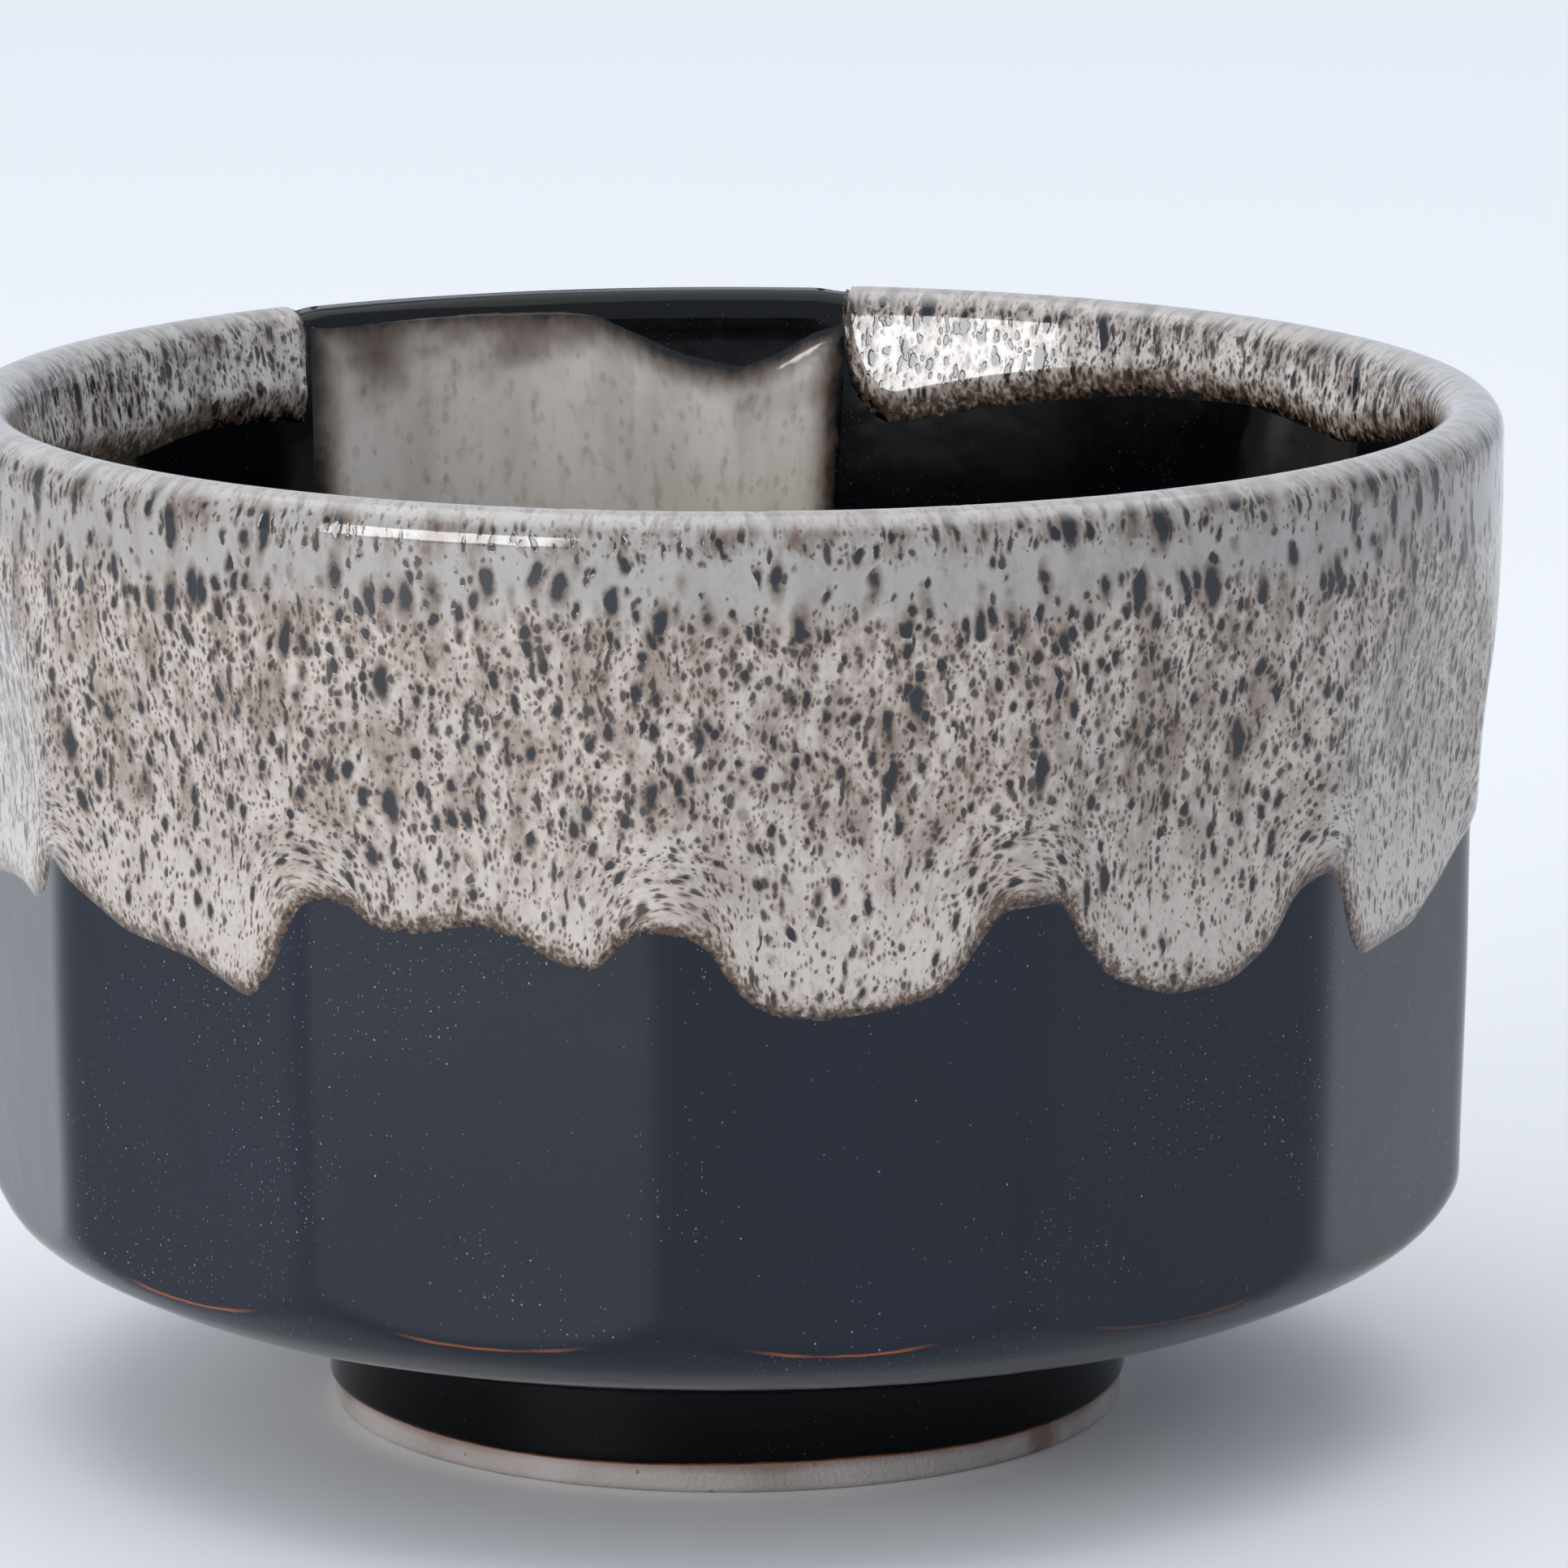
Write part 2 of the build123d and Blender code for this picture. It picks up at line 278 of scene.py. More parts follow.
# expressions on sockets become nodes
class Wire:
    def __init__(self, shader, socket):
        self.shader, self.socket = shader, socket

    def math(self, kind, *others):
        return self.shader.add("Math", {"operation": kind}, [self, *others])

    def __add__(self, other): return self.math("ADD", other)
    def __radd__(self, other): return self.math("ADD", other)
    def __mul__(self, other): return self.math("MULTIPLY", other)
    def __rmul__(self, other): return self.math("MULTIPLY", other)
    def __sub__(self, other): return self.math("SUBTRACT", other)
    def __truediv__(self, other): return self.math("DIVIDE", other)
    def __pow__(self, other): return self.math("POWER", other)

    def __rsub__(self, other):
        return self.shader.add("Math", {"operation": "SUBTRACT"}, [other, self])


class Shader:
    def __init__(self, name):
        self.material = bpy.data.materials.new(name)
        self.material.use_nodes = True
        self.tree = self.material.node_tree
        self.surface = self.tree.nodes["Principled BSDF"]

    def feed(self, socket, value):
        if isinstance(value, Wire):
            self.tree.links.new(value.socket, socket)
        elif isinstance(value, (tuple, list)) and socket.type == "RGBA":
            socket.default_value = (*value, 1)
        else:
            socket.default_value = value

    def add(self, kind, settings, inputs, output=0):
        # inputs is a list in socket order, or a dictionary by socket name
        node = self.tree.nodes.new("ShaderNode" + kind)
        for key, value in settings.items():
            setattr(node, key, value)
        named = enumerate(inputs) if isinstance(inputs, list) else inputs.items()
        for key, value in named:
            self.feed(node.inputs[key], value)
        return Wire(self, node.outputs[output])

    def step(self, value, low, high):
        # 0 below low and 1 above high, with soft ends; low may be the larger
        return self.add("MapRange", {"interpolation_type": "SMOOTHSTEP"},
                        {"Value": value, "From Min": low, "From Max": high})

    def mix(self, share, first, second):
        # colours have the node's sockets 6 and 7
        return self.add("Mix", {"data_type": "RGBA"}, {0: share, 6: first, 7: second}, 2)

    def vector(self, kind, *inputs):
        return self.add("VectorMath", {"operation": kind}, list(inputs))

    def scaled(self, vector, x, y, z):
        return self.vector("MULTIPLY", vector, (x, y, z))

    def noise(self, vector, scale, detail=2.0, roughness=0.5, output=0):
        # output 0 is the number, 1 the colour
        return self.add("TexNoise", {}, {"Vector": vector, "Scale": scale, "Detail": detail,
                                         "Roughness": roughness}, output)

    def cells(self, vector, scale):
        # distance to the nearest cell's middle, in cells, and a random number for that cell
        apart = self.add("TexVoronoi", {}, {"Vector": vector, "Scale": scale}, "Distance")
        colour = Wire(self, apart.socket.node.outputs["Color"])
        return apart, self.add("SeparateColor", {}, [colour])

    def shifted(self, vector, scale, amount, like=None):
        # moved a little to all sides, by noise read at the same place or at another
        noise = self.noise(like or vector, scale, output=1)
        apart = self.vector("SUBTRACT", noise, (0.5, 0.5, 0.5))
        return self.vector("ADD", vector, self.scaled(apart, amount, amount, amount))

    def attribute(self, name, output="Fac"):
        return self.add("Attribute", {"attribute_name": name}, {}, output)

    def place(self):
        return self.add("TexCoord", {}, {}, "Object")

    def height(self, place):
        return self.add("SeparateXYZ", {}, [place], 2)

    def gloss(self, place, roughness):
        # hardly uneven shine
        return self.noise(place, 90) * 0.04 + (roughness - 0.02)

    def finish(self, colour, roughness, bumps=None, depth=0.0, ior=None):
        self.feed(self.surface.inputs["Base Color"], colour)
        self.feed(self.surface.inputs["Roughness"], roughness)
        if bumps is not None:
            bump = self.add("Bump", {}, {"Height": bumps, "Distance": depth})
            self.feed(self.surface.inputs["Normal"], bump)
        if ior is not None:
            self.surface.inputs["IOR"].default_value = ior
        return self.material


darkGlaze = {
    "deep": (0.0016, 0.0042, 0.0105),
    "thin": (0.0035, 0.0085, 0.019),
    "fleck": (0.22, 0.30, 0.36),
    "pit": (0.0005, 0.0008, 0.0012),
    "paintedShade": (0.0008, 0.0012, 0.0018),  # painted shade: darker inside, under the foot and on its wall
    "rust": (0.24, 0.066, 0.021),
    "roughness": 0.075,
    "footRoughness": 0.10,
    "peel": 0.00003,  # m that its surface rises and falls
    "ior": 1.37,
    "insideIor": 1.32,
    "footIor": 1.2,
}


def darkColour(shader, place, shade=0.0):
    # slate glaze with slow drifts of tone, tiny pale flecks and a few dark ringed pits; shade
    # darkens it to a painted shade tone and dims the flecks, for the inside and the foot
    tone = shader.mix(shader.noise(place, 45, 3), darkGlaze["deep"], darkGlaze["thin"])
    # painted shade: darker by the share given in shade
    tone = shader.mix(shade, tone, darkGlaze["paintedShade"])
    ring, rare = shader.cells(shader.shifted(place, 700, 0.0009), 150)
    pit = shader.step((ring - 0.10).math("ABSOLUTE"), 0.022, 0.006) * shader.step(rare, 0.035, 0.03)
    tone = shader.mix(pit * 0.8, tone, darkGlaze["pit"])
    crowd = shader.step(shader.noise(place, 70), 0.44, 0.68)
    apart, chance = shader.cells(place, 1500)
    fleck = shader.step(apart, 0.16, 0.07) * shader.step(chance, crowd * 0.30 + 0.03, crowd * 0.30)
    apart, chance = shader.cells(place, 3400)
    dust = shader.step(apart, 0.24, 0.12) * shader.step(chance, crowd * 0.26 + 0.025, crowd * 0.26)
    # the pale flecks fade in the painted shade
    return shader.mix((fleck * 0.65 + dust * 0.5) * (1 - shade * 0.8), tone, darkGlaze["fleck"])


def rustArcs(shader, place):
    # thin broken arcs low on the bowl, where the facets run out
    cut = shader.attribute("cut")  # mm from the line where a facet runs out
    middle = shader.attribute("bay")  # 1 in the middle of a facet, 0 at its ridges
    ragged = cut + (shader.noise(place, 700) - 0.5) * 0.12
    line = shader.step((ragged + 0.06).math("ABSOLUTE"), 0.13, 0.02)
    low = shader.step(shader.height(place), 0.030, 0.026)
    broken = shader.step(shader.noise(place, 110), 0.30, 0.55)
    return line * low * shader.step(middle, 0.40, 0.74) * broken


def darkMaterial(name, inside=False):
    shader = Shader(name)
    place = shader.place()
    # inside the bowl and under the foot the colour gets the painted shade
    colour = darkColour(shader, place, 1.0 * inside)
    if not inside:
        colour = shader.mix(rustArcs(shader, place), colour, darkGlaze["rust"])
    rough = shader.gloss(place, darkGlaze["roughness"])
    bumps = shader.noise(place, 220) + shader.noise(place, 60, 1) * 2
    ior = darkGlaze["insideIor" if inside else "ior"]
    return shader.finish(colour, rough, bumps, darkGlaze["peel"], ior)


creamGlaze = {
    "cream": (0.438, 0.394, 0.360),
    "warm": (0.305, 0.262, 0.234),
    "lobe": (0.466, 0.421, 0.385),
    "band": (0.282, 0.275, 0.268),
    # painted highlight: the top of the lip made lighter, as if lit from above
    "crest": (0.58, 0.55, 0.52),
    "inside": (0.72, 0.675, 0.64),  # paler inside the bowl
    "insideShare": 0.74,
    "brown": (0.10, 0.060, 0.038),
    "edge": (0.060, 0.033, 0.019),
    "spot": (0.008, 0.012, 0.018),
    "roughness": 0.075,
    "peel": 0.00004,
    "ior": 1.45,
    # heights in mm over which these come in
    "crowdFrom": (45, 60),
    "bandFrom": (70.2, 74.2),
    "lipFrom": (75.4, 77.6),
    "crestHighlightFrom": (78.4, 79.5),
    "lineAt": 72.6,  # height of the row of long spots along the band's lower edge
}
# each kind of spot: width, length (m) of its cells, how much of one it may fill, and how many
# cells hold one: in every place, and on top of that in each part of the glaze
spotKinds = {
    "long": (0.0017, 0.0046, 0.40, 0.02, {"line": 0.90, "band": 0.42, "crowd": 0.14}),
    "middling": (0.00115, 0.0021, 0.40, 0.02,
                 {"crowdBelow": 0.64, "below": 0.14, "line": 0.40, "band": 0.22}),
    "small": (0.00072, 0.0012, 0.42, 0.02,
              {"crowdBelow": 0.60, "below": 0.30, "edge": 0.55, "band": 0.16}),
    "dashes": (0.0006, 0.0028, 0.42, 0.01, {"lip": 0.90, "crowdBelow": 0.25}),
    "dust": (0.00040, 0.00062, 0.44, 0.04,
             {"crowdBelow": 0.35, "below": 0.40, "edge": 0.90, "lip": 0.45}),
}


def spotLayer(shader, flow, kind, parts=None, share=None):
    # core and halo of one kind of spot; share is how many of its cells hold one
    width, length, fill, everywhere, shares = spotKinds[kind]
    if share is None:
        share = sum(parts[part] * more for part, more in shares.items()) + everywhere
    apart, chance = shader.cells(shader.scaled(flow, 1 / width, 1 / width, 1 / length), 1)
    reach = (1 - chance / share).math("MAXIMUM", 0) ** 0.4 * fill
    core = shader.step(apart, reach * 1.02, reach * 0.66)
    halo = shader.step(apart, reach * 1.62, reach * 0.75)
    return core, halo


def creamMaterial(name):
    shader = Shader(name)
    place = shader.place()
    flow = shader.attribute("flow", "Vector")
    edge = shader.attribute("edge")  # mm from the edge of the glaze
    inner = shader.attribute("inner")  # 1 inside the bowl
    height = shader.height(place) * 1000
    run = shader.shifted(flow, 1500, 0.00042)
    run = shader.shifted(run, 260, 0.0016, flow)
    patches = shader.noise(flow, 75, 3)
    clouds = shader.noise(shader.scaled(flow, 1, 1, 0.45), 420, 4, 0.65)
    grain = shader.noise(shader.scaled(flow, 1, 1, 0.6), 2400, 3, 0.6)
    crumbs = shader.noise(place, 2300, 3, 0.6)

    # the parts of the glaze
    shift = (patches - 0.5) * 9
    crowd = shader.step(height + shift, *creamGlaze["crowdFrom"])  # spots crowd above the lobes
    bandHeight = height + shift * 0.45
    outer = 1 - inner
    band = shader.step(bandHeight, *creamGlaze["bandFrom"]) * outer
    line = shader.step((bandHeight - creamGlaze["lineAt"]).math("ABSOLUTE"), 3.0, 0.8) * outer
    lip = shader.step(height + shift * 0.2, *creamGlaze["lipFrom"])
    # where the painted highlight on the lip's top comes in
    crest = shader.step(height, *creamGlaze["crestHighlightFrom"])
    below = 1 - band
    nearEdge = shader.step(edge, 3.4, 0.5)
    parts = {"crowd": crowd, "band": band, "line": line, "lip": lip, "below": below,
             "crowdBelow": below * crowd, "edge": nearEdge}

    worn = crowd * shader.step(clouds, 0.30, 0.66)
    base = shader.mix(worn, creamGlaze["lobe"], creamGlaze["warm"])
    base = shader.mix(shader.step(patches, 0.35, 0.65) * 0.6, base, creamGlaze["cream"])
    base = shader.mix(band * 0.8, base, creamGlaze["band"])
    base = shader.mix(inner * creamGlaze["insideShare"], base, creamGlaze["inside"])

    long, longHalo = spotLayer(shader, run, "long", parts)
    middling, middlingHalo = spotLayer(shader, run, "middling", parts)
    small, smallHalo = spotLayer(shader, run, "small", parts)
    dashes, dashHalo = spotLayer(shader, run, "dashes", parts)
    dust, dustHalo = spotLayer(shader, run, "dust", parts)
    core, halo = long, longHalo
    for other in (middling, small * 0.75, dashes * 0.80):
        core = core.math("MAXIMUM", other)
    for other in (middlingHalo, smallHalo * 0.9, dashHalo, dustHalo * 0.6):
        halo = halo.math("MAXIMUM", other)
    haze = shader.step(clouds, 0.42, 0.72) * (crowd * 0.40 + nearEdge * 0.34 + lip * 0.36 + 0.06)
    haze = haze * (1 - band * 0.6 * (1 - lip))
    haze = haze + shader.step(grain, 0.45, 0.80) * (0.30 - band * 0.12)
    colour = shader.mix(haze, base, creamGlaze["brown"])
    colour = shader.mix(halo * 0.80, colour, creamGlaze["brown"])
    colour = shader.mix(dust * 0.65, colour, creamGlaze["edge"])
    colour = shader.mix(core * 0.96, colour, creamGlaze["spot"])
    # painted highlight along the top of the lip
    colour = shader.mix(crest * 0.5, colour, creamGlaze["crest"])

    # brown and ragged towards the edge, over a wider strip inside, and then clear
    soft = inner * 1.8
    ragged = edge + (shader.noise(run, 1300, 3) - 0.5) * (1.7 + soft) + (crumbs - 0.5) * 2.8
    fringe = shader.step(ragged, soft + 1.7, 0.6)
    rind = shader.step(ragged, soft * 0.5 + 0.95, 0.45)
    clear = shader.step(ragged, soft * 0.5 + 0.35, 0.0)
    colour = shader.mix(fringe * 0.62, colour, creamGlaze["brown"])
    colour = shader.mix(rind * 0.85, colour, creamGlaze["edge"])
    # where the cream clears the dark glaze shows, with painted shade inside the bowl
    colour = shader.mix(clear, colour, darkColour(shader, place, inner))
    rough = shader.gloss(place, creamGlaze["roughness"])
    bumps = shader.noise(place, 240) + (1 - core) * 0.6  # the spots lie a little low
    return shader.finish(colour, rough, bumps, creamGlaze["peel"], creamGlaze["ior"])


bareClay = {
    "light": (0.345, 0.312, 0.298),
    "dark": (0.26, 0.225, 0.208),
    "stain": (0.135, 0.066, 0.038),
    "blotch": (0.0243, -0.0192, 0.0012),  # where a rusty blotch sits on the foot
    "roughness": 0.75,
    "grain": 0.00012,
}


def clayMaterial(name):
    shader = Shader(name)
    place = shader.place()
    grain = shader.noise(place, 2600, 3)
    cloud = shader.noise(place, 120, 3)
    colour = shader.mix(shader.step(cloud, 0.3, 0.75), bareClay["light"], bareClay["dark"])
    apart, chance = shader.cells(place, 900)
    speck = shader.step(apart, 0.22, 0.12) * shader.step(chance, 0.16, 0.12)
    colour = shader.mix(speck * 0.7, colour, bareClay["stain"])
    height = shader.height(place)
    bleed = shader.step(height + cloud * 0.0012, 0.0020, 0.0031) * shader.step(height, 0.006, 0.004)
    colour = shader.mix(bleed * 0.8, colour, bareClay["stain"])
    offset = shader.vector("SUBTRACT", shader.shifted(place, 600, 0.003), bareClay["blotch"])
    away = shader.add("VectorMath", {"operation": "LENGTH"}, [offset], 1)
    colour = shader.mix(shader.step(away, 0.0026, 0.0008) * 0.85, colour, bareClay["stain"])
    rough = grain * 0.1 + (bareClay["roughness"] - 0.05)
    return shader.finish(colour, rough, grain, bareClay["grain"])


# one tree cuts the facets into any turned coat; sizes in mm, the wave's scale per m
facetCut = {"ridgeSoftness": 1.5, "edgeSoftness": 0.45, "wave": 0.05, "waveScale": 55.0}


def facetTree():
    tree = bpy.data.node_groups.new("facetCutter", "GeometryNodeTree")
    face = tree.interface
    face.new_socket("Geometry", in_out="INPUT", socket_type="NodeSocketGeometry")
    for label in ("Facets", "First Ridge", "Ridge Softness", "Edge Softness", "Wave", "Wave Scale"):
        face.new_socket(label, in_out="INPUT", socket_type="NodeSocketFloat")
    face.new_socket("Glaze", in_out="INPUT", socket_type="NodeSocketMaterial")
    face.new_socket("Geometry", in_out="OUTPUT", socket_type="NodeSocketGeometry")
    start = tree.nodes.new("NodeGroupInput")

    def put(kind, inputs, **settings):
        # inputs is a list in socket order, or a dictionary by socket name
        node = tree.nodes.new(kind)
        for key, value in settings.items():
            setattr(node, key, value)
        named = enumerate(inputs) if isinstance(inputs, list) else inputs.items()
        for key, value in named:
            if isinstance(value, bpy.types.NodeSocket):
                tree.links.new(value, node.inputs[key])
            else:
                node.inputs[key].default_value = value
        return node.outputs

    def maths(kind, *values):
        return put("ShaderNodeMath", list(values), operation=kind)[0]

    def stored(name):
        return put("GeometryNodeInputNamedAttribute", {"Name": name}, data_type="FLOAT")[0]

    where = put("GeometryNodeInputPosition", [])[0]
    x, y, z = put("ShaderNodeSeparateXYZ", [where])
    reach = stored("reach")
    flatRadius = maths("SQRT", maths("ADD", maths("MULTIPLY", x, x), maths("MULTIPLY", y, y)))
    angle = maths("ADD", maths("ARCTAN2", x, maths("MULTIPLY", y, -1.0)), stored("turn"))
    step = maths("DIVIDE", 2 * pi, start.outputs["Facets"])
    turned = maths("SUBTRACT", angle, maths("RADIANS", start.outputs["First Ridge"]))
    half = maths("MULTIPLY", step, 0.5)
    fromRidge = maths("PINGPONG", turned, half)  # 0 at a ridge, half a pitch in the middle
    fromMiddle = maths("SUBTRACT", half, fromRidge)
    near = maths("DIVIDE", reach, maths("COSINE", fromMiddle))
    far = maths("DIVIDE", reach, maths("COSINE", maths("ADD", half, fromRidge)))
    both = maths("SMOOTH_MIN", near, far, start.outputs["Ridge Softness"])
    radius = maths("SMOOTH_MIN", both, flatRadius, start.outputs["Edge Softness"])
    noise = put("ShaderNodeTexNoise",
                {"Vector": where, "Scale": start.outputs["Wave Scale"], "Detail": 1.0})[0]
    wave = maths("MULTIPLY", maths("SUBTRACT", noise, 0.5), start.outputs["Wave"])
    factor = maths("DIVIDE", maths("ADD", radius, wave), flatRadius)
    moved = put("ShaderNodeCombineXYZ",
                [maths("MULTIPLY", x, factor), maths("MULTIPLY", y, factor), z])[0]
    shape = start.outputs["Geometry"]
    cut = maths("MULTIPLY", maths("SUBTRACT", both, flatRadius), 1000.0)
    for name, value in (("cut", cut), ("bay", maths("DIVIDE", fromRidge, half))):
        shape = put("GeometryNodeStoreNamedAttribute",
                    {"Geometry": shape, "Name": name, "Value": value},
                    data_type="FLOAT", domain="POINT")[0]
    shape = put("GeometryNodeSetPosition", {"Geometry": shape, "Position": moved})[0]
    shape = put("GeometryNodeRealizeInstances", {"Geometry": shape})[0]
    shape = put("GeometryNodeSetMaterial",
                {"Geometry": shape, "Material": start.outputs["Glaze"]})[0]
    end = tree.nodes.new("NodeGroupOutput")
    tree.links.new(shape, end.inputs[0])
    return tree


facetCutter = facetTree()


def cutFacets(piece, material):
    # runs the tree and keeps its result as a plain mesh
    modifier = piece.modifiers.new("facets", "NODES")
    modifier.node_group = facetCutter
    values = {"Facets": float(facets), "First Ridge": bowl["ridges"][0],
              "Ridge Softness": facetCut["ridgeSoftness"] * mm,
              "Edge Softness": facetCut["edgeSoftness"] * mm,
              "Wave": facetCut["wave"] * mm, "Wave Scale": facetCut["waveScale"], "Glaze": material}
    for item in facetCutter.interface.items_tree:
        if item.in_out == "INPUT" and item.name in values:
            modifier[item.identifier] = values[item.name]
    bpy.context.view_layer.update()
    whole = piece.evaluated_get(bpy.context.evaluated_depsgraph_get())
    plain = bpy.data.meshes.new_from_object(whole)
    plain.name = piece.name
    piece.modifiers.clear()
    piece.data = plain
    return piece


def soften(x):
    x = np.clip(x, 0, 1)
    return x * x * (3 - 2 * x)


def aroundFrom(angle, middle):
    # degrees either way from the middle
    return np.abs((angle - middle + 180) % 360 - 180)


# where the cream misses the rim the dark glaze is fuller, so the rim stays level
bareRim = {
    "middle": 194.55,
    "half": 23.95,
    "drop": 3.0,  # mm below the rim where the cream starts there, outside
    "extraCoat": 0.30,
    "fadeAngle": 3.0,
    "fadeRun": (5.5, 0.5),  # mm from the crest over which the extra coat comes in
    "overlap": (0.5, 1.0),  # degrees that the extra coat and the gap in the cream reach further
    "endRun": 2.4,  # degrees over which the cream ends
}


def bareRimCoat(angle, s):
    beyond = bareRim["half"] + bareRim["overlap"][0] - aroundFrom(angle, bareRim["middle"])
    side = soften(beyond / bareRim["fadeAngle"])
    start, full = bareRim["fadeRun"]
    near = soften((start - np.abs(s)) / (start - full))[:, None]
    return bareRim["extraCoat"] * side[None] * near


# dark glaze outside
outerDark = {"columns": 572, "rows": 118}


def makeOuterDark():
    onFoot = sectionPoints[:, 0] > bowl["footRadius"]
    last = sectionS[(sectionS > 0) & onFoot].max()
    front = np.linspace(0, last, outerDark["rows"])
    back = front[::-9]  # fewer rows where it lies on the clay
    s = np.concatenate([front, back])
    coat = np.repeat([bowl["darkCoat"], 0], [len(front), len(back)])[:, None]
    angles = np.arange(outerDark["columns"]) * 360 / outerDark["columns"]
    extra = bareRimCoat(angles, s) * (coat > 0)
    wide = np.broadcast_to(s[:, None], extra.shape)
    r, z = onSection(wide, coat + extra)
    attributes = {"reach": facetReach(wide, z, coat) * mm, "turn": evenTurn(angles, len(s))}
    piece = meshFrom("outerDarkGlaze", around(r, angles[None], z), attributes, wrapRows=True)
    return cutFacets(piece, darkMaterial("darkGlazeOutside"))


# dark lining
innerDark = {"columns": 360, "rows": 110}


def makeInnerDark():
    front = np.linspace(0, sectionS.min() + 0.6, innerDark["rows"])
    back = front[::-10]
    s = np.concatenate([front[::-1], back[::-1]])
    coat = np.repeat([bowl["darkCoat"], 0], [len(front), len(back)])[:, None]
    angles = np.arange(innerDark["columns"]) * 360 / innerDark["columns"]
    extra = bareRimCoat(angles, s) * (coat > 0)
    r, z = onSection(np.broadcast_to(s[:, None], extra.shape), coat + extra)
    floor = bowl["underHeight"] + bowl["floorThickness"]
    poles = [(0, 0, floor + bowl["darkCoat"]), (0, 0, floor)]
    piece = meshFrom("innerDarkGlaze", around(r, angles[None], z), poles=poles)
    piece.data.materials.append(darkMaterial("darkGlazeInside", inside=True))
    return piece


# cream glaze over the rim
rimCream = {
    "columns": 780,
    "rows": 76,
    "bead": 2.4,  # mm over which the edge thins down to the dark glaze
    "edgeRows": [0, 0.08, 0.2, 0.4, 0.65, 1.0, 1.4, 1.9, 2.4],  # mm from the edge
    "backRows": 14,
    "sunk": 0.05,  # how far it starts under the dark glaze's surface
    "sag": 0.085,  # mm that it thickens inside for each mm down
    "sagRun": (2.0, 9),  # mm down from the crest where that starts, and how far it goes on
    "smoothing": 0.75,  # degrees
    "meanRadii": (57.5, 55),  # of its lower edge, outside and inside
    "flowRadius": 58.0,
    # over each peak the glaze parts: from how far above, how wide in degrees, how much it is
    # drawn in, and how many mm it piles up
    "parting": (8.0, 4.2, 0.80, 6.5),
    # the lower edge across the front: angle and depth below the rim
    "frontDrips": [
        (-69, 34.8), (-62, 34.1), (-60, 30.6), (-57, 32.4), (-51, 35.2), (-43.5, 36.2),
        (-37, 38.4), (-34.2, 35.2), (-32.3, 30.8), (-30.5, 29.7), (-28, 30.0), (-26, 31.9),
        (-22, 31.9), (-19, 31.0), (-16, 31.4), (-12.3, 33.3), (-9, 34.1), (-7, 31.3),
        (-5.2, 30.7), (-2.3, 31.0), (-0.5, 32.4), (0.6, 35.1), (3.5, 37.1), (7, 37.6),
        (12.3, 36.9), (16.6, 35.7), (18.7, 32.5), (20.3, 29.6), (22.5, 29.7), (25.4, 29.4),
        (26.4, 32.5), (29.5, 35.9), (35, 37.8), (40.7, 37.6), (45, 34.9), (46.6, 31.5),
        (50, 30.2), (52, 31.7), (53.7, 36.3), (56, 38.0), (66, 37.4), (72, 34.8),
    ],
    # round the back, for each facet from the sixth on: depth of the peak at its ridge, how far
    # that peak is off the ridge, and the depths a quarter, half and three quarters across
    "backDrips": [
        (31.9, 0.0, 36.2, 38.6, 36.4), (29.9, -1.0, 35.0, 36.4, 37.8),
        (31.6, 1.5, 37.1, 38.9, 37.9), (30.4, 0.0, 34.6, 36.0, 34.9),
        (29.6, -1.5, 36.9, 38.2, 35.8), (31.8, 1.0, 36.5, 37.6, 38.3),
        (30.2, 0.5, 33.9, 35.1, 34.4), (31.8, -1.0, 35.8, 34.8, 35.3),
    ],
    "peakHalf": 2.6,  # degrees
    # depth of the lower edge inside, by angle
    "curtain": [
        (-142, 9.6), (-137, 8.9), (-129, 8.7), (-120, 9.8), (-95, 8.2), (-70, 9.6),
        (-45, 7.6), (-20, 9.0), (5, 8.0), (30, 9.4), (60, 7.4), (85, 5.2), (96, 4.1),
        (105, 6.5), (117, 8.2), (130, 6.8), (143, 7.4), (151, 8.4), (158, 9.6),
        (162, 10.5), (166, 11.3), (168.7, 9.7), (171, 5.0),
    ],
}


def dripPoints():
    points = list(rimCream["frontDrips"])
    half = rimCream["peakHalf"]
    for ridge, (top, off, *across) in zip(bowl["ridges"][5:], rimCream["backDrips"]):
        peak = ridge + off
        points += [(peak - half, top + 1.0), (peak, top), (peak + half, top + 0.8)]
        points += [(ridge + pitch * part / 4, depth) for part, depth in enumerate(across, 1)]
    return sorted((a if a < 180 else a - 360, depth) for a, depth in points)


def roundLine(points, columns):
    # soft closed line through (angle, depth) points, read at even columns
    step, reach = 0.1, 60
    fine = np.arange(-180, 180, step)
    places, depths = np.array(points).T
    line = np.interp(fine, places, depths, period=360)
    kernel = np.exp(-0.5 * (np.arange(-reach, reach + 1) * step / rimCream["smoothing"]) ** 2)
    padded = np.concatenate([line[-reach:], line, line[:reach]])
    line = np.convolve(padded, kernel / kernel.sum(), "valid")
    return np.interp(columns, fine, line, period=360)


def beadCoat(edge):
    # thickness under the cream's surface at a distance from its edge
    x = np.clip(edge / rimCream["bead"], 0, 1)
    sunk = rimCream["sunk"]
    return bowl["darkCoat"] - sunk + (bowl["creamCoat"] + sunk) * x * (2 - x)


def runOff(angle, s, outEnd):
    # where the glaze at each place ran from: it parts above the peaks and piles up there
    above, half, drawn, piled = rimCream["parting"]
    everyRidge = np.array([r + turn for turn in (-360, 0, 360) for r in bowl["ridges"]])
    ridge = everyRidge[np.abs(angle[:, None] - everyRidge[None]).argmin(1)]
    off = angle - ridge
    peak = np.interp(ridge, angle, outEnd, period=360)
    share = soften((s - peak + above) / above) * np.exp(-(off / half) ** 2)
    return ridge + off * (1 - drawn * share), s + piled * share


